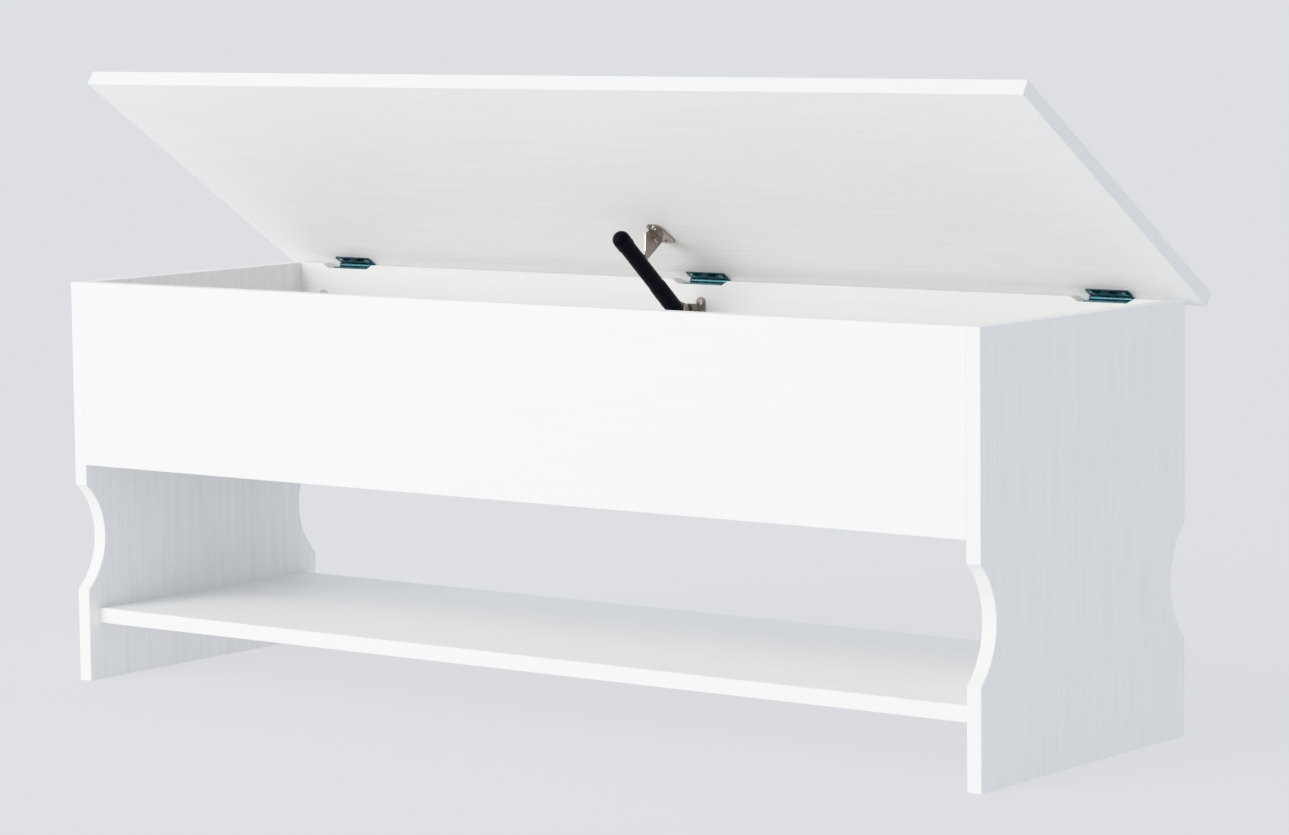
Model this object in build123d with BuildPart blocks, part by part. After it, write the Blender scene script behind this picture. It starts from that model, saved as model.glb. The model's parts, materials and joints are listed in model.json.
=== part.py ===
"""Storage bench: a board carcass with a box, an open shelf and a hinged lid held by a spring stay.

Millimetres, +Z up. The floor is Z = 0, +X runs along the bench and +Y points to the hinged side.
The origin is on the floor, under the middle of the footprint that the bench has at rest, when
its lid stands open at lid_angle. "Forward" is -Y, away from the hinges.
"""

from build123d import *
from math import cos, radians, sin
import os

# ---------------------------------------------------------------- boards
board = 16.0
body_length = 1168.0
body_depth = 368.0
body_height = 434.0
box_height = 198.0
shelf_top = 78.0
shelf_setback = 16.0
cutout_bottom = 100.0
cutout_top = 214.0
cutout_depth = 26.5
edge_round = 0.6

# ---------------------------------------------------------------- lid
lid_overhang = 16.0
lid_gap = 0.5
lid_round = 1.0
lid_angle = 33.15
lid_travel_down = 33.15
lid_travel_up = 61.85

# ---------------------------------------------------------------- butt hinges
hinge_stations = {"left": -498.0, "middle": 0.0, "right": 498.0}
hinge_length = 50.0
hinge_reach = 14.0
leaf_thickness = 1.2
leaf_offset = 2.75
knuckle_radius = 2.6
knuckle_count = 5
knuckle_gap = 0.15
hinge_pin_radius = 1.4
running_gap = 0.05
hinge_screw_spacing = 37.0
hinge_screw_reach = 8.0
notch_depth = 5.0
notch_length = 56.0
notch_ramp = 9.0
leaf_corner = 1.5
leaf_relief = 0.25
pin_head = 0.5
pin_head_length = 0.6

# ---------------------------------------------------------------- screws and board fittings
screw_head_radius = 2.9
screw_shank_radius = 1.5
screw_recess = 0.9
recess_slot = 0.8
screw_point_radius = 0.2
countersunk_recess = 3.2
pan_recess = 2.6
pan_rim = 0.8
pan_height = 2.0
cam_recess = 9.0
hinge_screw_length = 13.0
stay_screw_length = 12.0
cam_radius = 7.5
cam_thickness = 12.0
cam_pocket_depth = 12.4
cam_setback = 34.0
fitting_edge = 37.0
bolt_channel_radius = 4.0
bolt_thread_radius = 2.5
bolt_thread_length = 11.0
bolt_shank_radius = 3.0
bolt_head_radius = 3.4
bolt_head_length = 3.0
bolt_head_rise = 1.0
bolt_neck_radius = 1.8
bolt_neck_length = 4.0
bolt_collar_radius = 3.6
bolt_collar = 1.2
cam_cavity_radius = 4.2
dowel_radius = 4.0
dowel_length = 30.0
dowel_depth_side = 11.0
end_gap = 1.0
fit_gap = 0.05

# ---------------------------------------------------------------- lid stay
# Points are (forward, up) from the hinge axis. Stations along X are given for each plate's +X face.
stay_pivot = Vector(27.0, -28.0)
stay_reach = Vector(90.5, -2.0)
sheet = 1.5
arm_sheet = 2.0
ear_face_x = -14.7
arm_face_x = -12.5
lug_face_x = -13.0
link_face_x = -14.7
tube_x = -3.5
tube_angle = 40.65
tube_below_elbow = 4.5
tube_radius = 8.5
tube_bore = 7.0
sleeve_radius = 9.0
sleeve_top = -25.0
sleeve_end = -67.0
sleeve_wall = 5.0
tube_lap = 13.0
tube_top = 54.0
cap_radius = 9.3
cap_skirt = 9.0
rivet_radius = 2.0
pivot_radius = 2.5
rivet_head = 1.1
plate_gap = 0.1
rivet_chamfer = 0.4
pivot_head = 2.0
lid_rivet_head = 0.9
link_rivet_head = 1.6
clip_head = 1.3
plunger_radius = 4.0
plunger_head_radius = 6.8
plunger_head = 5.0
plunger_head_top = -46.0
plunger_pin_radius = 2.0
plunger_pin_forward = 12.0
plunger_travel = 9.0
plunger_nose_length = 1.5
plunger_nose_chamfer = 1.0
plunger_pin_proud = 1.0
cam_gap = 0.15
spring_wire = 1.6
spring_radius = 5.8
spring_turns = 20
cap_crown_start = 1.0
link_radius = 4.3
open_pivot_gap = 0.15
arm_width = 10.0
arm_bend_station = -52.0
arm_bend_rise = 2.0
clip_stations = (-44.0, -57.0)
clip_radius = 1.5
clip_depth = 1.8
base_tab_x = 2.0
base_tab_radius = 5.5
base_tab_top = 410.5
base_tab_bottom = 376.0
base_edge_top = 408.5
base_edge_bottom = 378.0
ear_top_reach = 4.0
ear_bottom_reach = 6.0
cam_margin = 4.0
cam_stops = 8
cam_step = 0.5
bracket_left_x = -14.5
bracket_right_x = 5.0
bracket_near = 79.0
bracket_far = 116.0
bracket_front_corner = 8.5
bracket_back_corner = 4.0
lug_near_inset = 1.5
lug_far_inset = 6.5
lug_far_corner = 12.0
lug_near_drop = 2.0
lug_far_drop = 8.0
bracket_screw_x = -4.8
bracket_screws = (83.0, 110.0)
lug_tip = Vector(95.3, -21.2)
lug_tip_radius = 5.2

# ---------------------------------------------------------------- derived places
inner_half = body_length / 2 - board
lid_back_reach = lid_overhang - leaf_offset
lid_depth = body_depth + 2 * lid_overhang
lid_length = body_length + 2 * lid_overhang
tilt = radians(lid_angle)
lid_back_at_rest = (
    (lid_back_reach - lid_round) * cos(tilt) + (leaf_offset + board - lid_round) * sin(tilt) + lid_round
)
front_y = -(body_depth + leaf_offset + lid_back_at_rest) / 2
rear_y = front_y + body_depth
middle_y = (front_y + rear_y) / 2
hinge_y = rear_y + leaf_offset
hinge_z = body_height + lid_gap - leaf_offset
box_bottom_z = body_height - box_height
lid_up = Vector(0, sin(tilt), cos(tilt))
lid_under = Plane(
    origin=Vector(0, hinge_y, hinge_z) + lid_up * leaf_offset, x_dir=(1, 0, 0), z_dir=lid_up
)

os.makedirs("parts", exist_ok=True)


def finish(builder, name):
    """Label a finished piece and write it."""
    builder.part.label = name
    export_step(builder.part, f"parts/{name}.step")


def side_view(x, at=Vector(0, 0), angle=0.0):
    """Sketch plane facing -X at station x: local X points `angle` degrees above forward."""
    turn = radians(angle)
    return Plane(
        origin=(x, hinge_y - at.X, hinge_z + at.Y), x_dir=(0, -cos(turn), sin(turn)), z_dir=(-1, 0, 0)
    )


def turned(point, angle):
    """A (forward, up) vector turned by `angle` degrees, from forward towards up."""
    turn = radians(angle)
    return Vector(point.X * cos(turn) - point.Y * sin(turn), point.X * sin(turn) + point.Y * cos(turn))


def slab(low, high):
    """A box between two corners, in the current part."""
    size = Vector(*high) - Vector(*low)
    with Locations(low):
        Box(size.X, size.Y, size.Z, align=(Align.MIN, Align.MIN, Align.MIN))


def drill(plane, radius, depth):
    """A blind round hole in the current part, going in against the plane's normal."""
    with Locations(plane):
        Hole(radius, depth)


# ---------------------------------------------------------------- fittings between boards
def fitting(y, z, face, dowel_shift):
    """One cam lock site: its bolt's axis, the way its cam faces, and the dowel beside it."""
    return {"y": y, "z": z, "face": Vector(*face), "dowel": Vector(0, y, z) + Vector(*dowel_shift)}


def upright_fittings(y, inward):
    """Cam locks near the top and bottom of the front or back panel, facing into the box."""
    low = box_bottom_z + fitting_edge
    high = body_height - fitting_edge
    shift = (high - low) / 4
    return [
        fitting(y, low, (0, inward, 0), (0, 0, shift)),
        fitting(y, high, (0, inward, 0), (0, 0, -shift)),
    ]


def level_fittings(z, front, back):
    """Cam locks near the front and back of a level board, facing down."""
    shift = (back - front) / 5
    return [
        fitting(front, z, (0, 0, -1), (0, shift, 0)),
        fitting(back, z, (0, 0, -1), (0, -shift, 0)),
    ]


shelf_front_y = front_y + shelf_setback
shelf_back_y = rear_y - shelf_setback
joined = {
    "front_panel": upright_fittings(front_y + board / 2, 1),
    "back_panel": upright_fittings(rear_y - board / 2, -1),
    "box_bottom": level_fittings(
        box_bottom_z + board / 2, front_y + board + fitting_edge, rear_y - board - fitting_edge
    ),
    "shelf": level_fittings(
        shelf_top - board / 2, shelf_front_y + fitting_edge, shelf_back_y - fitting_edge
    ),
}
every_fitting = [site for sites in joined.values() for site in sites]
floor_dowel_stations = [-420.0, -140.0, 140.0, 420.0]


def board_end(side, place):
    """Plane on a board's end face, its normal pointing out of the board into the side panel."""
    return Plane(origin=(side * inner_half, place.Y, place.Z), z_dir=(side, 0, 0))


def cam_face(side, site):
    """Plane on the face of a cam lock, its normal pointing out of the board."""
    axis_point = Vector(side * (inner_half - cam_setback), site["y"], site["z"])
    return Plane(origin=axis_point + site["face"] * (board / 2), x_dir=(1, 0, 0), z_dir=site["face"])


def drill_board_ends(sites):
    """Cam pockets, bolt channels and dowel holes at both ends of a joined board."""
    for side in (-1, 1):
        for site in sites:
            drill(cam_face(side, site), cam_radius + fit_gap, cam_pocket_depth)
            bolt_axis = Vector(0, site["y"], site["z"])
            drill(board_end(side, bolt_axis), bolt_channel_radius, cam_setback)
            drill(board_end(side, site["dowel"]), dowel_radius, dowel_length - dowel_depth_side + end_gap)


def floor_dowel_planes():
    """Planes on the box bottom's long edges, where dowels go into the front and back panels."""
    z = box_bottom_z + board / 2
    for x in floor_dowel_stations:
        yield Plane(origin=(x, front_y + board, z), z_dir=(0, -1, 0))
        yield Plane(origin=(x, rear_y - board, z), z_dir=(0, 1, 0))


# ---------------------------------------------------------------- side panels
def side_panel(name, side):
    """A side panel with an arc cut out of its front and back edges, drilled on its inner face."""
    half = body_depth / 2
    arc_middle = (cutout_bottom + cutout_top) / 2
    outer_x = side * body_length / 2
    with BuildPart() as panel:
        with BuildSketch(Plane(origin=(outer_x, middle_y, 0), x_dir=(0, side, 0), z_dir=(side, 0, 0))):
            with BuildLine():
                for way in (-1, 1):
                    Line((way * half, 0), (way * half, cutout_bottom))
                    ThreePointArc(
                        (way * half, cutout_bottom),
                        (way * (half - cutout_depth), arc_middle),
                        (way * half, cutout_top),
                    )
                    Line((way * half, cutout_top), (way * half, body_height))
                Line((-half, 0), (half, 0))
                Line((-half, body_height), (half, body_height))
            make_face()
        extrude(amount=-board)
        outlines = panel.faces().group_by(Axis.X)
        chamfer(outlines[0].edges() + outlines[-1].edges(), edge_round)
        for site in every_fitting:
            into = Vector(0, site["y"], site["z"])
            inner_face = Plane(origin=(side * inner_half, into.Y, into.Z), z_dir=(-side, 0, 0))
            drill(inner_face, bolt_thread_radius, bolt_thread_length + end_gap)
            beside = site["dowel"]
            inner_face = Plane(origin=(side * inner_half, beside.Y, beside.Z), z_dir=(-side, 0, 0))
            drill(inner_face, dowel_radius, dowel_depth_side + end_gap)
    finish(panel, name)


side_panel("side_panel_left", -1)
side_panel("side_panel_right", 1)

# ---------------------------------------------------------------- front panel
with BuildPart() as front_panel:
    slab((-inner_half, front_y, box_bottom_z), (inner_half, front_y + board, body_height))
    chamfer(front_panel.edges().filter_by(Axis.X), edge_round)
    drill_board_ends(joined["front_panel"])
    for edge_plane in list(floor_dowel_planes())[0::2]:
        drill(Plane(origin=edge_plane.origin, z_dir=-edge_plane.z_dir), dowel_radius, dowel_depth_side)
finish(front_panel, "front_panel")

# ---------------------------------------------------------------- back panel
inner_back = Plane(origin=(0, rear_y - board, 0), x_dir=(1, 0, 0), z_dir=(0, -1, 0))
notch_floor_z = body_height - notch_depth


def hinge_screw_xs(station):
    """Stations of the two screws in each leaf of the hinge at `station`."""
    return (station - hinge_screw_spacing / 2, station + hinge_screw_spacing / 2)


with BuildPart() as back_panel:
    slab((-inner_half, rear_y - board, box_bottom_z), (inner_half, rear_y, body_height))
    chamfer(back_panel.edges().filter_by(Axis.X), edge_round)
    drill_board_ends(joined["back_panel"])
    for edge_plane in list(floor_dowel_planes())[1::2]:
        drill(Plane(origin=edge_plane.origin, z_dir=-edge_plane.z_dir), dowel_radius, dowel_depth_side)
    for station in hinge_stations.values():
        half = notch_length / 2
        with BuildSketch(Plane.XZ.offset(-rear_y)):
            Polygon(
                (station - half, notch_floor_z),
                (station + half, notch_floor_z),
                (station + half + 2 * notch_ramp, notch_floor_z + 2 * notch_depth),
                (station - half - 2 * notch_ramp, notch_floor_z + 2 * notch_depth),
                align=None,
            )
        extrude(amount=board, mode=Mode.SUBTRACT)
    for station in hinge_stations.values():
        for x in hinge_screw_xs(station):
            seat = Plane(origin=(x, hinge_y - hinge_screw_reach, notch_floor_z), z_dir=(0, 0, 1))
            drill(seat, screw_shank_radius, hinge_screw_length)
    for z in (base_tab_top, base_tab_bottom):
        seat = Plane(origin=(base_tab_x, rear_y - board, z), z_dir=(0, -1, 0))
        drill(seat, screw_shank_radius, stay_screw_length)
finish(back_panel, "back_panel")

# ---------------------------------------------------------------- box bottom and shelf
with BuildPart() as box_bottom:
    slab(
        (-inner_half, front_y + board, box_bottom_z),
        (inner_half, rear_y - board, box_bottom_z + board),
    )
    drill_board_ends(joined["box_bottom"])
    for edge_plane in floor_dowel_planes():
        drill(edge_plane, dowel_radius, dowel_length - dowel_depth_side + end_gap)
finish(box_bottom, "box_bottom")

with BuildPart() as shelf:
    slab((-inner_half, shelf_front_y, shelf_top - board), (inner_half, shelf_back_y, shelf_top))
    chamfer(shelf.edges().filter_by(Axis.X), edge_round)
    drill_board_ends(joined["shelf"])
finish(shelf, "shelf")

# ---------------------------------------------------------------- lid
lid_middle_reach = lid_depth / 2 - lid_back_reach


def lid_point(x, reach):
    """Plane on the lid's underside, `reach` from the hinge axis, its normal pointing down out of it."""
    return Plane(
        origin=lid_under.from_local_coords(Vector(x, -reach, 0)), x_dir=(1, 0, 0), z_dir=-lid_up
    )


with BuildPart() as lid:
    with BuildSketch(lid_under):
        with Locations((0, -lid_middle_reach)):
            Rectangle(lid_length, lid_depth)
    extrude(amount=board)
    fillet(lid.edges(), lid_round)
    for station in hinge_stations.values():
        for x in hinge_screw_xs(station):
            drill(lid_point(x, hinge_screw_reach), screw_shank_radius, hinge_screw_length)
    for reach in bracket_screws:
        drill(lid_point(bracket_screw_x, reach), screw_shank_radius, stay_screw_length)
finish(lid, "lid")


# ---------------------------------------------------------------- screws, dowels and cam locks
top_at_seat = (Align.CENTER, Align.CENTER, Align.MAX)
bottom_at_seat = (Align.CENTER, Align.CENTER, Align.MIN)
screw_tip = 2 * screw_shank_radius


def screw_shank(length):
    """A screw's shank and point, going down from the current location."""
    Cylinder(screw_shank_radius, length - screw_tip, align=top_at_seat)
    with Locations((0, 0, screw_tip - length)):
        Cone(screw_point_radius, screw_shank_radius, screw_tip, align=top_at_seat)


def cross_recess(width):
    """A cross cut into a screw head or a cam, at the current location."""
    for turn in (0, 90):
        with Locations(Rotation(0, 0, turn)):
            Box(width, recess_slot, 2 * screw_recess, mode=Mode.SUBTRACT)


def countersunk_screw(seat, length):
    """A countersunk screw in the current part, its head's face on `seat`."""
    with Locations(seat):
        Cone(screw_shank_radius, screw_head_radius, leaf_thickness, align=top_at_seat)
        screw_shank(length)
        cross_recess(countersunk_recess)


def pan_screw(seat, length):
    """A screw with a domed head standing on `seat`, in the current part."""
    with Locations(seat):
        Cylinder(screw_head_radius, pan_rim, align=bottom_at_seat)
        with Locations((0, 0, pan_rim)):
            Cone(
                screw_head_radius, screw_head_radius / 2, pan_height - pan_rim, align=bottom_at_seat
            )
        screw_shank(length)
        with Locations((0, 0, pan_height)):
            cross_recess(pan_recess)


with BuildPart() as dowels:
    for side in (-1, 1):
        for site in every_fitting:
            with Locations(board_end(side, site["dowel"])):
                with Locations((0, 0, dowel_depth_side)):
                    Cylinder(dowel_radius, dowel_length, align=top_at_seat)
    for edge_plane in floor_dowel_planes():
        with Locations(edge_plane):
            with Locations((0, 0, dowel_depth_side)):
                Cylinder(dowel_radius, dowel_length, align=top_at_seat)
    chamfer(dowels.edges().filter_by(GeomType.CIRCLE), edge_round)
finish(dowels, "wooden_dowels")

with BuildPart() as cam_locks:
    for side in (-1, 1):
        for site in every_fitting:
            face = cam_face(side, site)
            with Locations(face):
                Cylinder(cam_radius, cam_thickness, align=top_at_seat)
                cross_recess(cam_recess)
            with Locations(Plane(origin=face.origin - face.z_dir * (board / 2), z_dir=(side, 0, 0))):
                Cylinder(
                    cam_cavity_radius, 2 * cam_radius, align=bottom_at_seat, mode=Mode.SUBTRACT
                )
                Sphere(cam_cavity_radius, mode=Mode.SUBTRACT)
finish(cam_locks, "cam_locks")

with BuildPart() as cam_bolts:
    for side in (-1, 1):
        for site in every_fitting:
            end = board_end(side, Vector(0, site["y"], site["z"]))
            with Locations(end):
                Cylinder(bolt_thread_radius, bolt_thread_length, align=bottom_at_seat)
                Cylinder(bolt_collar_radius, bolt_collar, align=top_at_seat)
                Cylinder(bolt_shank_radius, cam_setback - bolt_neck_length, align=top_at_seat)
                Cylinder(bolt_neck_radius, cam_setback, align=top_at_seat)
                with Locations((0, 0, bolt_head_rise - cam_setback)):
                    Cylinder(bolt_head_radius, bolt_head_length, align=top_at_seat)
finish(cam_bolts, "cam_bolts")


# ---------------------------------------------------------------- butt hinges
def knuckle_bands(first):
    """(low, high) X limits, from the hinge's middle, of every second knuckle."""
    width = hinge_length / knuckle_count
    for i in range(first, knuckle_count, 2):
        low = -hinge_length / 2 + i * width
        inner_low = low if i == 0 else low + knuckle_gap / 2
        high = low + width
        inner_high = high if i == knuckle_count - 1 else high - knuckle_gap / 2
        yield inner_low, inner_high


def hinge_leaf(name, station, first, bore, angle, face_up):
    """One leaf: a plate with two countersunk holes, and its knuckles round the pin."""
    plate_low, plate_high = sorted((face_up * leaf_offset, face_up * (leaf_offset - leaf_thickness)))
    plate_middle = (plate_low + plate_high) / 2
    clear = leaf_offset + leaf_relief
    with BuildPart() as leaf:
        with BuildSketch(side_view(station + hinge_length / 2, angle=angle)):
            with Locations(((clear + hinge_reach) / 2, plate_middle)):
                Rectangle(hinge_reach - clear, leaf_thickness)
        extrude(amount=hinge_length)
        corners = leaf.edges().filter_by(lambda e: abs(e.length - leaf_thickness) < 0.01)
        far = corners.sort_by(lambda e: -(e.center() - Vector(station, hinge_y, hinge_z)).length)[:2]
        fillet(far, leaf_corner)
        for low, high in knuckle_bands(first):
            with BuildSketch(side_view(station + high, angle=angle)):
                Circle(knuckle_radius)
                with Locations((clear / 2, plate_middle)):
                    Rectangle(clear, leaf_thickness)
            extrude(amount=high - low)
            with BuildSketch(side_view(station + high, angle=angle)):
                Circle(bore)
            extrude(amount=high - low, mode=Mode.SUBTRACT)
        for x in hinge_screw_xs(station):
            local = side_view(x, angle=angle)
            out = -face_up * local.y_dir
            seat = local.from_local_coords(
                Vector(hinge_screw_reach, face_up * (leaf_offset - leaf_thickness), 0)
            )
            with Locations(Plane(origin=seat, x_dir=(1, 0, 0), z_dir=out)):
                Cone(
                    screw_shank_radius + fit_gap,
                    screw_head_radius + fit_gap,
                    leaf_thickness,
                    align=top_at_seat,
                    mode=Mode.SUBTRACT,
                )
    finish(leaf, name)


for where, station in hinge_stations.items():
    hinge_leaf(f"hinge_{where}_body_leaf", station, 0, hinge_pin_radius, 0.0, -1)
    hinge_leaf(f"hinge_{where}_lid_leaf", station, 1, hinge_pin_radius + running_gap, lid_angle, 1)
    with BuildPart() as hinge_pin:
        with BuildSketch(side_view(station + hinge_length / 2)):
            Circle(hinge_pin_radius)
        extrude(amount=hinge_length)
        for x, out in ((station + hinge_length / 2, 1), (station - hinge_length / 2, -1)):
            with Locations(Plane(origin=(x, hinge_y, hinge_z), z_dir=(out, 0, 0))):
                Cylinder(hinge_pin_radius + pin_head, pin_head_length, align=bottom_at_seat)
    finish(hinge_pin, f"hinge_{where}_pin")

with BuildPart() as hinge_body_screws:
    for station in hinge_stations.values():
        for x in hinge_screw_xs(station):
            leaf_top = Vector(x, hinge_y - hinge_screw_reach, notch_floor_z + leaf_thickness)
            countersunk_screw(Plane(origin=leaf_top, z_dir=(0, 0, 1)), hinge_screw_length)
finish(hinge_body_screws, "hinge_body_screws")

with BuildPart() as hinge_lid_screws:
    for station in hinge_stations.values():
        for x in hinge_screw_xs(station):
            seat = lid_point(x, hinge_screw_reach)
            countersunk_screw(seat.offset(leaf_thickness), hinge_screw_length)
finish(hinge_lid_screws, "hinge_lid_screws")

# ---------------------------------------------------------------- lid stay: places
reach_at_rest = turned(stay_reach, lid_angle)
elbow = stay_pivot + reach_at_rest
tube_way = turned(Vector(1, 0), tube_angle)
tube_above = turned(Vector(0, 1), tube_angle)
tube_start = elbow - tube_above * tube_below_elbow
pivot_foot = (stay_pivot - tube_start).dot(tube_way)
pivot_height = (stay_pivot - tube_start).dot(tube_above)
tube_plane = side_view(tube_x, at=tube_start, angle=tube_angle)
tube_axis = Axis(tube_plane.origin, tube_plane.x_dir)
pin_station = pivot_foot + plunger_pin_forward
plunger_pin_rest = tube_start + tube_way * pin_station


def along_tube(station):
    """Plane square to the tube at a station, its normal pointing towards the domed end."""
    return Plane(origin=tube_plane.origin + tube_plane.x_dir * station, z_dir=tube_plane.x_dir)


def across(x, point):
    """Plane square to X at a (forward, up) point, its normal pointing to +X."""
    return Plane(origin=(x, hinge_y - point.X, hinge_z + point.Y), z_dir=(1, 0, 0))


def turned_shape(*profile):
    """Revolve a closed (station, radius) profile about the tube's axis, in the current part."""
    with BuildSketch(tube_plane) as outline:
        Polygon(*profile, align=None)
    revolve(outline.sketch, axis=tube_axis)


# ---------------------------------------------------------------- lid stay: base bracket
def plunger_pin_place(angle):
    """The plunger pin's middle, from the base pivot, with the lid `angle` degrees above rest."""
    forward = plunger_pin_forward - plunger_travel * radians(angle)
    return turned(tube_way * forward - tube_above * pivot_height, angle)


def cam_point(angle):
    """The point of the cam edge that faces the plunger's pin."""
    along = plunger_pin_place(angle + cam_step) - plunger_pin_place(angle - cam_step)
    inward = Vector(-along.Y, along.X).normalized()
    return stay_pivot + plunger_pin_place(angle) + inward * (plunger_pin_radius + cam_gap)


cam_low = -lid_travel_down - cam_margin
cam_high = lid_travel_up + cam_margin
cam_angles = [cam_low + (cam_high - cam_low) * i / cam_stops for i in range(cam_stops + 1)]
cam_edge = [cam_point(angle) for angle in cam_angles]
panel_forward = leaf_offset + board
ear_bottom = base_edge_bottom - hinge_z
ear_top = base_edge_top - hinge_z
base_left_x = ear_face_x - sheet

with BuildPart() as base_bracket:
    with BuildSketch(inner_back):
        middle_x = (base_left_x + base_tab_x + base_tab_radius) / 2
        with Locations((middle_x, (base_edge_top + base_edge_bottom) / 2)):
            Rectangle(base_tab_x + base_tab_radius - base_left_x, base_edge_top - base_edge_bottom)
        with Locations((base_tab_x, base_tab_top), (base_tab_x, base_tab_bottom)):
            Circle(base_tab_radius)
    extrude(amount=sheet)
    with BuildSketch(side_view(ear_face_x)):
        with BuildLine():
            Spline(*cam_edge)
            Polyline(
                cam_edge[-1],
                (stay_pivot.X + ear_top_reach, ear_top),
                (panel_forward, ear_top),
                (panel_forward, ear_bottom),
                (cam_edge[0].X - ear_bottom_reach, ear_bottom),
                cam_edge[0],
            )
        make_face()
    extrude(amount=sheet)
    drill(across(ear_face_x, stay_pivot), pivot_radius, sheet)
    for z in (base_tab_top, base_tab_bottom):
        seat = Plane(origin=(base_tab_x, rear_y - board - sheet, z), z_dir=(0, -1, 0))
        drill(seat, screw_shank_radius, sheet)
finish(base_bracket, "stay_base_bracket")

with BuildPart() as base_screws:
    for z in (base_tab_top, base_tab_bottom):
        seat = Plane(origin=(base_tab_x, rear_y - board - sheet, z), z_dir=(0, -1, 0))
        pan_screw(seat, stay_screw_length)
finish(base_screws, "stay_base_screws")

with BuildPart() as base_rivet:
    with Locations(across(base_left_x, stay_pivot)):
        Cylinder(pivot_radius + pivot_head, rivet_head, align=top_at_seat)
    with Locations(across(base_left_x, stay_pivot)):
        Cylinder(pivot_radius, arm_face_x + plate_gap - base_left_x, align=bottom_at_seat)
    with Locations(across(arm_face_x + plate_gap, stay_pivot)):
        Cylinder(pivot_radius + pivot_head, rivet_head, align=bottom_at_seat)
    chamfer(base_rivet.edges().filter_by(GeomType.CIRCLE).group_by(Axis.X)[0], rivet_chamfer)
    chamfer(base_rivet.edges().filter_by(GeomType.CIRCLE).group_by(Axis.X)[-1], rivet_chamfer)
finish(base_rivet, "stay_base_rivet")

# ---------------------------------------------------------------- lid stay: lid bracket
bracket_width = bracket_right_x - bracket_left_x
bracket_length = bracket_far - bracket_near
lid_side = side_view(lug_face_x, angle=lid_angle)

with BuildPart() as lid_bracket:
    with BuildSketch(lid_under):
        middle = ((bracket_left_x + bracket_right_x) / 2, -(bracket_near + bracket_far) / 2)
        with Locations(middle):
            Rectangle(bracket_width, bracket_length)
        fillet(vertices().group_by(Axis.Y)[0], bracket_front_corner)
        fillet(vertices().group_by(Axis.Y)[-1].sort_by(Axis.X)[-1], bracket_back_corner)
    extrude(amount=-sheet)
    with BuildSketch(lid_side):
        Polygon(
            (bracket_near + lug_near_inset, leaf_offset),
            (bracket_far - lug_far_corner, leaf_offset),
            (bracket_far - lug_far_inset, leaf_offset - lug_far_drop),
            (lug_tip.X + lug_tip_radius, lug_tip.Y),
            (lug_tip.X - lug_tip_radius, lug_tip.Y),
            (bracket_near + lug_near_inset, leaf_offset - lug_near_drop),
            align=None,
        )
        with Locations((lug_tip.X, lug_tip.Y)):
            Circle(lug_tip_radius)
    extrude(amount=sheet)
    with Locations(lid_side.offset(sheet)):
        with Locations((stay_reach.X, stay_reach.Y)):
            Hole(rivet_radius, sheet)
    for reach in bracket_screws:
        drill(lid_point(bracket_screw_x, reach).offset(sheet), screw_shank_radius, sheet)
finish(lid_bracket, "stay_lid_bracket")

with BuildPart() as lid_bracket_screws:
    for reach in bracket_screws:
        pan_screw(lid_point(bracket_screw_x, reach).offset(sheet), stay_screw_length)
finish(lid_bracket_screws, "stay_lid_screws")

link_outer_x = link_face_x - sheet
with BuildPart() as lid_rivet:
    with Locations(across(lug_face_x, reach_at_rest)):
        Cylinder(rivet_radius + lid_rivet_head, rivet_head, align=bottom_at_seat)
        Cylinder(rivet_radius, lug_face_x - link_outer_x + plate_gap, align=top_at_seat)
    with Locations(across(link_outer_x - plate_gap, reach_at_rest)):
        Cylinder(rivet_radius + link_rivet_head, rivet_head, align=top_at_seat)
    chamfer(lid_rivet.edges().filter_by(GeomType.CIRCLE).group_by(Axis.X)[0], rivet_chamfer)
    chamfer(lid_rivet.edges().filter_by(GeomType.CIRCLE).group_by(Axis.X)[-1], rivet_chamfer)
finish(lid_rivet, "stay_lid_rivet")

# ---------------------------------------------------------------- lid stay: link and arm
def strap(start, end, width):
    """A round-ended bar between two points, in the current sketch."""
    middle = (start + end) * 0.5
    SlotCenterPoint((middle.X, middle.Y), (end.X, end.Y), width)


with BuildPart() as link:
    with BuildSketch(side_view(link_face_x)):
        strap(elbow, reach_at_rest, 2 * link_radius)
    extrude(amount=sheet)
    drill(across(link_face_x, elbow), rivet_radius + running_gap, sheet)
    drill(across(link_face_x, reach_at_rest), rivet_radius + open_pivot_gap, sheet)
finish(link, "stay_link")

arm_bend = tube_start + tube_way * arm_bend_station + tube_above * arm_bend_rise
clip_places = [tube_start + tube_way * station for station in clip_stations]
with BuildPart() as arm:
    with BuildSketch(side_view(arm_face_x)):
        strap(elbow, arm_bend, arm_width)
        strap(arm_bend, stay_pivot, arm_width)
    extrude(amount=arm_sheet)
    drill(across(arm_face_x, elbow), rivet_radius, arm_sheet)
    drill(across(arm_face_x, stay_pivot), pivot_radius + running_gap, arm_sheet)
    for place in clip_places:
        drill(across(arm_face_x, place), clip_radius, arm_sheet)
finish(arm, "stay_arm")

with BuildPart() as elbow_rivet:
    with Locations(across(arm_face_x, elbow)):
        Cylinder(rivet_radius, arm_face_x - link_outer_x + plate_gap, align=top_at_seat)
    with Locations(across(link_outer_x - plate_gap, elbow)):
        Cylinder(rivet_radius + link_rivet_head, rivet_head, align=top_at_seat)
    chamfer(elbow_rivet.edges().filter_by(GeomType.CIRCLE).group_by(Axis.X)[0], rivet_chamfer)
finish(elbow_rivet, "stay_elbow_rivet")

with BuildPart() as tube_rivets:
    for place in clip_places:
        with Locations(across(arm_face_x - arm_sheet, place)):
            Cylinder(clip_radius + clip_head, rivet_head, align=top_at_seat)
            Cylinder(clip_radius, arm_sheet + clip_depth, align=bottom_at_seat)
finish(tube_rivets, "stay_tube_rivets")

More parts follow.
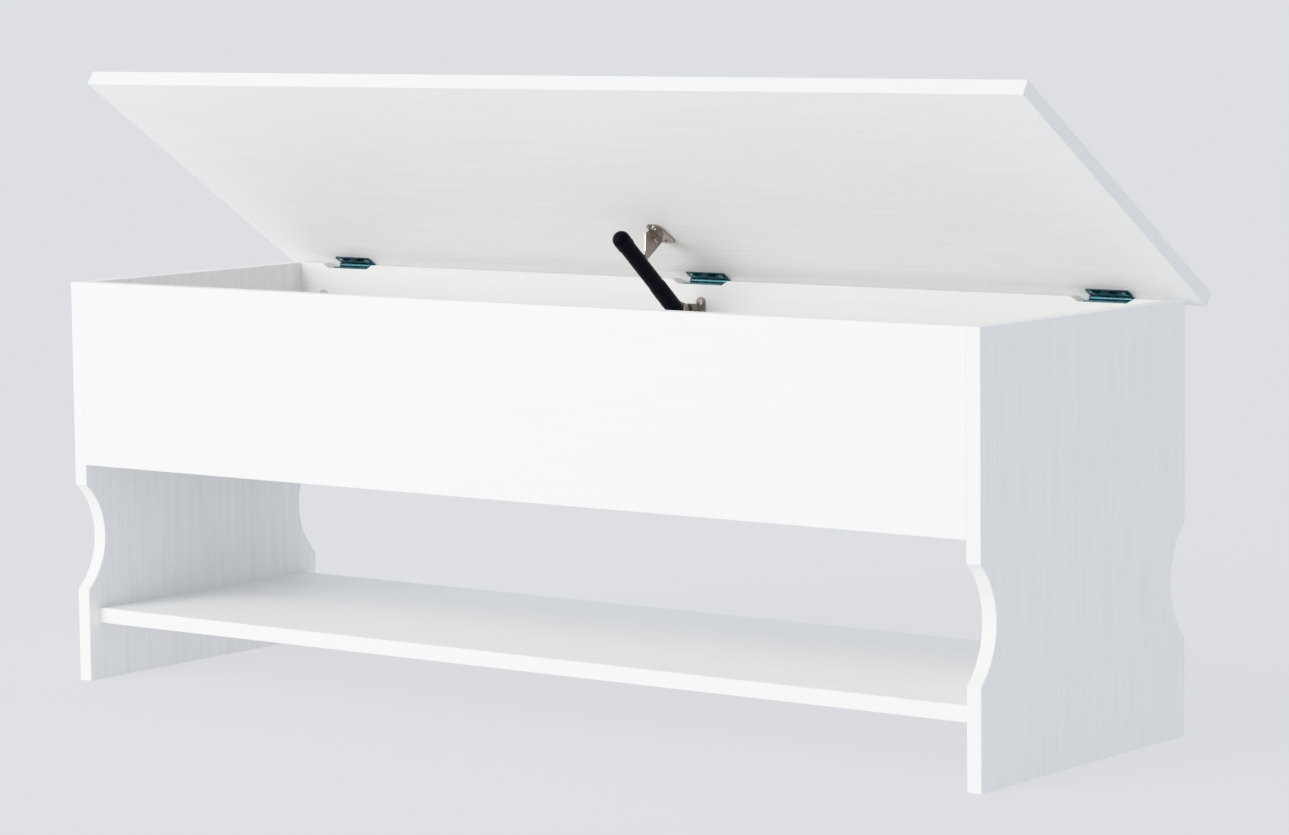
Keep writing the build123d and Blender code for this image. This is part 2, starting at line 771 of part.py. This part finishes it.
# ---------------------------------------------------------------- lid stay: tube, spring and plunger
tube_foot = sleeve_top - tube_lap
with BuildPart() as spring_tube:
    turned_shape(
        (tube_foot, tube_bore), (tube_top, tube_bore), (tube_top, tube_radius), (tube_foot, tube_radius)
    )
finish(spring_tube, "stay_spring_tube")

with BuildPart() as sleeve:
    turned_shape(
        (sleeve_end, plunger_radius + running_gap),
        (sleeve_end + sleeve_wall, plunger_radius + running_gap),
        (sleeve_end + sleeve_wall, tube_bore),
        (tube_foot, tube_bore),
        (tube_foot, tube_radius),
        (sleeve_top, tube_radius),
        (sleeve_top, sleeve_radius),
        (sleeve_end, sleeve_radius),
    )
    for place in clip_places:
        drill(Plane(origin=across(arm_face_x, place).origin, z_dir=(-1, 0, 0)), clip_radius, clip_depth)
finish(sleeve, "stay_tube_sleeve")

cap_start = tube_top - cap_skirt
crown_start = tube_top + cap_crown_start
with BuildPart() as cap:
    with BuildSketch(tube_plane) as cap_outline:
        with BuildLine():
            Polyline(
                (crown_start, 0),
                (tube_top, 0),
                (tube_top, tube_radius),
                (cap_start, tube_radius),
                (cap_start, cap_radius),
                (crown_start, cap_radius),
            )
            RadiusArc((crown_start, cap_radius), (crown_start + cap_radius, 0), cap_radius)
            Line((crown_start + cap_radius, 0), (crown_start, 0))
        make_face()
    revolve(cap_outline.sketch, axis=tube_axis)
finish(cap, "stay_tube_cap")

plunger_shoulder = plunger_head_top - plunger_head
plunger_nose = pin_station - plunger_pin_radius - plunger_nose_length
with BuildPart() as plunger:
    turned_shape(
        (plunger_head_top, 0),
        (plunger_head_top, plunger_head_radius),
        (plunger_shoulder, plunger_head_radius),
        (plunger_shoulder, plunger_radius),
        (plunger_nose + plunger_nose_chamfer, plunger_radius),
        (plunger_nose, plunger_radius - plunger_nose_chamfer),
        (plunger_nose, 0),
    )
    drill(across(tube_x + plunger_radius, plunger_pin_rest), plunger_pin_radius, 2 * plunger_radius)
finish(plunger, "stay_plunger")

pin_right_x = tube_x + plunger_radius + plunger_pin_proud
with BuildPart() as plunger_pin:
    with Locations(across(pin_right_x, plunger_pin_rest)):
        Cylinder(plunger_pin_radius, pin_right_x + plunger_pin_proud - base_left_x, align=top_at_seat)
    chamfer(plunger_pin.edges().filter_by(GeomType.CIRCLE), rivet_chamfer)
finish(plunger_pin, "stay_plunger_pin")

spring_length = tube_top - plunger_head_top - spring_wire - 2 * end_gap
with BuildPart() as spring:
    with BuildLine() as coil:
        Helix(
            spring_length / spring_turns,
            spring_length,
            spring_radius,
            center=along_tube(plunger_head_top + spring_wire / 2 + end_gap).origin,
            direction=tube_plane.x_dir,
        )
    with BuildSketch(Plane(origin=coil.line @ 0, z_dir=coil.line % 0)):
        Circle(spring_wire / 2)
    sweep(is_frenet=True)
finish(spring, "stay_spring")
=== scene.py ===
"""Storage bench: materials, floor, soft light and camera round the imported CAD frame. Metres."""

import json
import math

import bpy
from mathutils import Matrix, Vector


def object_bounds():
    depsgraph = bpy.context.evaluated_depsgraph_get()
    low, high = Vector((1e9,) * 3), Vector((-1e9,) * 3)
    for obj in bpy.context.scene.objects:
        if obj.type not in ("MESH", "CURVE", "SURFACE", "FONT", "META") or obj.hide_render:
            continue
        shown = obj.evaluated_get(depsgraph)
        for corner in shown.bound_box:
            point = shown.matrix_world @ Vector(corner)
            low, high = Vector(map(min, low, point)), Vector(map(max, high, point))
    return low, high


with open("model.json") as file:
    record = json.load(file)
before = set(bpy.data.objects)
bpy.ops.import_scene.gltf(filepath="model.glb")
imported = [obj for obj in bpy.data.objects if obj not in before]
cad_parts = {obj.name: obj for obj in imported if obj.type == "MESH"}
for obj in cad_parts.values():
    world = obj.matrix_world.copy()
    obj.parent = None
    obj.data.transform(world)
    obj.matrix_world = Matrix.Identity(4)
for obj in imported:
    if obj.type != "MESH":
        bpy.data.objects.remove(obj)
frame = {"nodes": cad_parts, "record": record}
cad_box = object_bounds()

# ---------------------------------------------------------------- camera
CAMERA_PLACE = Vector((2.7625, -3.5307, 0.7688))
CAMERA_YAW = math.radians(37.592)
CAMERA_PITCH = math.radians(5.959)
CAMERA_ROLL = math.radians(-0.640)
CAMERA_LENS = 121.5
SENSOR_WIDTH = 36.0

# ---------------------------------------------------------------- light and stage
WORLD_COLOUR = (0.86, 0.92, 1.0, 1.0)
WORLD_STRENGTH = 0.72
KEY_COLOUR = (1.0, 0.985, 0.96)
KEY_STRENGTH = 0.75
KEY_SPREAD = math.radians(28)
KEY_FROM = Vector((-0.42, -1.0, 0.80))
FILL_COLOUR = (1.0, 0.955, 0.905)
FILL_POWER = 125.0
FILL_SIZE = (4.2, 1.6)
FILL_PLACE = Vector((-2.0, -4.0, 0.85))
SHOULDER_START = 0.78
BRIGHTEST_LIGHT = 1.5
BRIGHTEST_SHOWN = 0.975
FLOOR_HALF = 400.0
FLOOR_COLOUR = (0.16, 0.165, 0.17, 1.0)
FLOOR_GLOW = (0.545, 0.555, 0.585, 1.0)
FLOOR_CLOUDS = 0.6
FLOOR_MOTTLE = 0.985

# ---------------------------------------------------------------- finishes
WHITE = (0.935, 0.933, 0.925, 1.0)
WHITE_WORN = (0.890, 0.888, 0.879, 1.0)
ZINC_BLUE = (0.065, 0.165, 0.195, 1.0)
ZINC_BRIGHT = (0.62, 0.72, 0.76, 1.0)
NICKEL = (0.42, 0.37, 0.33, 1.0)
NICKEL_BRIGHT = (0.78, 0.76, 0.74, 1.0)
CAST_ZINC = (0.82, 0.82, 0.82, 1.0)
SPRING_STEEL = (0.28, 0.28, 0.29, 1.0)
TUBE_BLACK = (0.0003, 0.0003, 0.0050, 1.0)
ACETAL = (0.72, 0.71, 0.67, 1.0)
BEECH_LIGHT = (0.60, 0.42, 0.25, 1.0)
BEECH_DARK = (0.42, 0.27, 0.15, 1.0)

# Noise stretch per axis: a small number draws the pattern out along that axis.
EVEN = (1.0, 1.0, 1.0)
GRAIN_STRETCH = 0.035
ROLLED = (0.06, 1.0, 1.0)
FLECKED = (0.08, 1.0, 1.0)

# Noise scale: unstretched, the coarsest features are about 1/scale metres wide.
PORE_SCALE = 900.0
BAND_SCALE = 260.0
ROLLING_SCALE = 2600.0
TUMBLED_SCALE = 1400.0
PEEL_SCALE = 700.0
FLECK_SCALE = 1500.0

# Height of each bump, in metres.
PORE_DEPTH = 0.0004
ROLLING_DEPTH = 0.00003
TUMBLED_DEPTH = 0.0001
PEEL_DEPTH = 0.00012
FLECK_DEPTH = 0.0001

BAND_START, BAND_END = 0.30, 0.60
BOARD_ROUGH = (0.38, 0.50)
CAST_ROUGH = (0.38, 0.58)
CAST_DARK = (0.66, 0.66, 0.66, 1.0)
TARNISH = 0.86
PEEL_LIGHTER = 1.5
PEEL_ROUGH = (-0.05, 0.07)


class Shader:
    """A node material: one Principled shader and short calls that add texture nodes to it."""

    def __init__(self, name, **sockets):
        self.material = bpy.data.materials.new(name)
        self.material.use_nodes = True
        self.tree = self.material.node_tree
        self.surface = self.tree.nodes["Principled BSDF"]
        for socket, value in sockets.items():
            self.surface.inputs[socket.replace("_", " ")].default_value = value

    def node(self, kind, links=None):
        """Add a node; links maps its input names to sockets or to constant values."""
        made = self.tree.nodes.new(kind)
        for name, value in (links or {}).items():
            if isinstance(value, bpy.types.NodeSocket):
                self.tree.links.new(value, made.inputs[name])
            else:
                made.inputs[name].default_value = value
        return made

    def feed(self, name, source):
        self.tree.links.new(source, self.surface.inputs[name])

    def streaks(self, stretch, scale, detail):
        """Noise in the object's own metres, scaled apart along each axis by stretch."""
        place = self.node("ShaderNodeTexCoord").outputs["Object"]
        stretched = self.node("ShaderNodeMapping", {"Vector": place, "Scale": stretch})
        links = {"Vector": stretched.outputs["Vector"], "Scale": scale, "Detail": detail}
        return self.node("ShaderNodeTexNoise", links).outputs["Fac"]

    def ramp(self, source, low, high, start=0.35, end=0.65):
        """Map a socket's 0..1 to a colour from low to high, between two positions."""
        made = self.node("ShaderNodeValToRGB", {"Fac": source})
        first, last = made.color_ramp.elements[0], made.color_ramp.elements[1]
        first.position, last.position = start, end
        first.color, last.color = low, high
        return made.outputs["Color"]

    def spread(self, source, low, high):
        """Map a socket's 0..1 to a range of numbers."""
        links = {"Value": source, "To Min": low, "To Max": high}
        return self.node("ShaderNodeMapRange", links).outputs["Result"]

    def bump(self, height, strength, distance):
        """Shade the surface as if a height socket raised it by up to distance metres."""
        links = {"Height": height, "Strength": strength, "Distance": distance}
        self.feed("Normal", self.node("ShaderNodeBump", links).outputs["Normal"])


def scaled(colour, factor):
    """A colour with its three channels multiplied by a factor."""
    return tuple(factor * c for c in colour[:3]) + (1.0,)


# ---------------------------------------------------------------- materials
def white_board(name, grain):
    """Satin white foil with a fine embossed wood grain that runs along one axis."""
    shader = Shader(name, Coat_Weight=0.12, Coat_Roughness=0.25, Specular_IOR_Level=0.4)
    stretch = list(EVEN)
    stretch["XYZ".index(grain)] = GRAIN_STRETCH
    pores = shader.streaks(stretch, PORE_SCALE, 6.0)
    bands = shader.streaks(stretch, BAND_SCALE, 4.0)
    shader.feed("Base Color", shader.ramp(bands, WHITE_WORN, WHITE, BAND_START, BAND_END))
    shader.feed("Roughness", shader.spread(bands, *BOARD_ROUGH))
    shader.bump(pores, 0.5, PORE_DEPTH)
    return shader.material


def plated_steel(name, colour, rough_low, rough_high, cloud_scale):
    """Plated sheet: cloudy tarnish in its colour and roughness, and fine rolling marks."""
    shader = Shader(name, Metallic=1.0)
    clouds = shader.streaks(EVEN, cloud_scale, 5.0)
    marks = shader.streaks(ROLLED, ROLLING_SCALE, 3.0)
    darker = scaled(colour, TARNISH)
    shader.feed("Base Color", shader.ramp(clouds, darker, colour))
    shader.feed("Roughness", shader.spread(clouds, rough_low, rough_high))
    shader.bump(marks, 0.06, ROLLING_DEPTH)
    return shader.material


def cast_zinc():
    """Tumbled die-cast zinc."""
    shader = Shader("cast_zinc", Metallic=1.0)
    grains = shader.streaks(EVEN, TUMBLED_SCALE, 4.0)
    shader.feed("Base Color", shader.ramp(grains, CAST_DARK, CAST_ZINC))
    shader.feed("Roughness", shader.spread(grains, *CAST_ROUGH))
    shader.bump(grains, 0.25, TUMBLED_DEPTH)
    return shader.material


def moulded_plastic(name, colour, rough, gloss):
    """Moulded plastic with a faint orange-peel surface."""
    shader = Shader(name, Specular_IOR_Level=gloss)
    peel = shader.streaks(EVEN, PEEL_SCALE, 2.0)
    lighter = scaled(colour, PEEL_LIGHTER)
    shader.feed("Base Color", shader.ramp(peel, colour, lighter))
    smoothest, roughest = (rough + step for step in PEEL_ROUGH)
    shader.feed("Roughness", shader.spread(peel, smoothest, roughest))
    shader.bump(peel, 0.12, PEEL_DEPTH)
    return shader.material


def beech():
    """Raw beech, its flecks running along the dowel."""
    shader = Shader("beech", Roughness=0.62)
    flecks = shader.streaks(FLECKED, FLECK_SCALE, 5.0)
    shader.feed("Base Color", shader.ramp(flecks, BEECH_DARK, BEECH_LIGHT))
    shader.bump(flecks, 0.3, FLECK_DEPTH)
    return shader.material


SCREW_FINISHES = {
    "hinge_body_screws": "bright_zinc",
    "hinge_lid_screws": "bright_zinc",
    "stay_base_screws": "bright_nickel",
    "stay_lid_screws": "bright_nickel",
    "stay_base_rivet": "bright_nickel",
    "stay_lid_rivet": "bright_nickel",
    "stay_elbow_rivet": "bright_nickel",
}


def dress(materials):
    """Give every CAD node its material."""
    upright = white_board("white_board_upright_grain", "Z")
    level = white_board("white_board_level_grain", "X")
    slots = {part["node"]: part["material_slot"] for part in frame["record"]["subparts"]}
    for name, node in frame["nodes"].items():
        if slots[name] == "white_board":
            finish = upright if name.startswith("side_panel") else level
        elif name in SCREW_FINISHES:
            finish = materials[SCREW_FINISHES[name]]
        else:
            finish = materials[slots[name]]
        node.data.materials.clear()
        node.data.materials.append(finish)


dress({
    "zinc_plated_steel": plated_steel("zinc_plated_steel", ZINC_BLUE, 0.20, 0.30, 90.0),
    "bright_zinc": plated_steel("bright_zinc", ZINC_BRIGHT, 0.16, 0.24, 200.0),
    "nickel_plated_steel": plated_steel("nickel_plated_steel", NICKEL, 0.22, 0.34, 80.0),
    "bright_nickel": plated_steel("bright_nickel", NICKEL_BRIGHT, 0.14, 0.22, 200.0),
    "spring_steel": plated_steel("spring_steel", SPRING_STEEL, 0.30, 0.45, 400.0),
    "black_plastic": moulded_plastic("black_plastic", TUBE_BLACK, 0.42, 0.07),
    "plunger_plastic": moulded_plastic("plunger_plastic", ACETAL, 0.42, 0.5),
    "cast_zinc": cast_zinc(),
    "beech": beech(),
})


# ---------------------------------------------------------------- floor, light, camera
def lay_floor():
    """A plain pale floor that reaches past everything the camera sees."""
    corners = [(-FLOOR_HALF, -FLOOR_HALF), (FLOOR_HALF, -FLOOR_HALF)]
    corners += [(FLOOR_HALF, FLOOR_HALF), (-FLOOR_HALF, FLOOR_HALF)]
    mesh = bpy.data.meshes.new("floor")
    mesh.from_pydata([(x, y, 0.0) for x, y in corners], [], [(0, 1, 2, 3)])
    floor = bpy.data.objects.new("floor", mesh)
    bpy.context.scene.collection.objects.link(floor)
    shader = Shader("floor", Roughness=0.9, Specular_IOR_Level=0.1)
    cloud = shader.streaks(EVEN, FLOOR_CLOUDS, 2.0)
    shader.feed("Base Color", shader.ramp(cloud, scaled(FLOOR_COLOUR, FLOOR_MOTTLE), FLOOR_COLOUR))
    shader.surface.inputs["Emission Color"].default_value = FLOOR_GLOW
    shader.surface.inputs["Emission Strength"].default_value = 1.0
    mesh.materials.append(shader.material)


def light_scene():
    """An even pale sky, a key from the upper front left and a broad low fill in front."""
    world = bpy.data.worlds.new("studio")
    world.use_nodes = True
    background = world.node_tree.nodes["Background"]
    background.inputs["Color"].default_value = WORLD_COLOUR
    background.inputs["Strength"].default_value = WORLD_STRENGTH
    bpy.context.scene.world = world
    key = bpy.data.lights.new("key", "SUN")
    key.energy = KEY_STRENGTH
    key.angle = KEY_SPREAD
    key.color = KEY_COLOUR
    holder = bpy.data.objects.new("key", key)
    holder.rotation_euler = KEY_FROM.to_track_quat("Z", "Y").to_euler()
    bpy.context.scene.collection.objects.link(holder)
    fill = bpy.data.lights.new("fill", "AREA")
    fill.shape = "RECTANGLE"
    fill.size, fill.size_y = FILL_SIZE
    fill.energy = FILL_POWER
    fill.color = FILL_COLOUR
    panel = bpy.data.objects.new("fill", fill)
    target = (Vector(cad_box[0]) + Vector(cad_box[1])) / 2
    panel.location = FILL_PLACE
    panel.rotation_euler = (FILL_PLACE - target).to_track_quat("Z", "Y").to_euler()
    bpy.context.scene.collection.objects.link(panel)


def soften_highlights():
    """Plain display colours, with light above the shoulder's start eased down to just under white."""
    view = bpy.context.scene.view_settings
    view.view_transform = "Standard"
    view.use_curve_mapping = True
    mapping = view.curve_mapping
    mapping.white_level = (BRIGHTEST_LIGHT,) * 3
    points = mapping.curves[3].points
    points[-1].location = (1.0, BRIGHTEST_SHOWN)
    for light in (SHOULDER_START / 2, SHOULDER_START):
        points.new(light / BRIGHTEST_LIGHT, light)
    mapping.update()


def place_camera():
    """The camera's axes come from its yaw, its pitch down and its roll."""
    flat_right = Vector((math.cos(CAMERA_YAW), math.sin(CAMERA_YAW), 0.0))
    level = math.cos(CAMERA_PITCH)
    forward = Vector((
        -math.sin(CAMERA_YAW) * level,
        math.cos(CAMERA_YAW) * level,
        -math.sin(CAMERA_PITCH),
    ))
    flat_up = flat_right.cross(forward)
    right = flat_right * math.cos(CAMERA_ROLL) + flat_up * math.sin(CAMERA_ROLL)
    up = flat_up * math.cos(CAMERA_ROLL) - flat_right * math.sin(CAMERA_ROLL)
    data = bpy.data.cameras.new("camera")
    data.sensor_width = SENSOR_WIDTH
    data.lens = CAMERA_LENS
    camera = bpy.data.objects.new("camera", data)
    turn = Matrix((right, up, -forward)).transposed().to_4x4()
    camera.matrix_world = Matrix.Translation(CAMERA_PLACE) @ turn
    bpy.context.scene.collection.objects.link(camera)
    bpy.context.scene.camera = camera


lay_floor()
light_scene()
soften_highlights()
place_camera()
